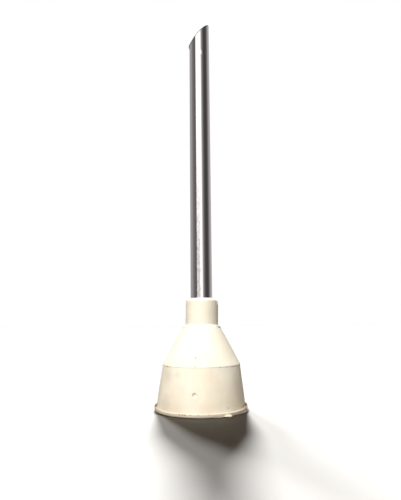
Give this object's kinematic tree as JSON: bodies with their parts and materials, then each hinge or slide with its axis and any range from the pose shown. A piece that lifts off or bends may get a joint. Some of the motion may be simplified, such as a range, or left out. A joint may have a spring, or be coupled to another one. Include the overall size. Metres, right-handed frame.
{
  "type": "saliva ejector tip",
  "caption": "Bevelled steel suction tube that turns in the neck of a moulded rubber adaptor, whose bell pushes onto a suction hose's spigot.",
  "frame": {"origin": "middle of the adaptor's rim, in the plane that the tip stands on", "axes": "+Z along the tube, from the rubber adaptor towards the bevelled tip; +X towards the tip's point"},
  "size_m": [0.033, 0.033, 0.151],
  "materials": {
    "polished_steel": "polished, with fine lengthwise scratches",
    "ivory_rubber": "matt moulded rubber, ivory, slightly aged"
  },
  "bodies": {
    "adaptor": {"rubber_adaptor": "ivory_rubber"},
    "tube": {"suction_tube": "polished_steel"}
  },
  "joints": [
    {"name": "tube_turn", "type": "hinge", "parent": "adaptor", "child": "tube", "pos_m": [0, 0, 0.033], "axis": [0, 0, 1], "continuous": true}
  ]
}
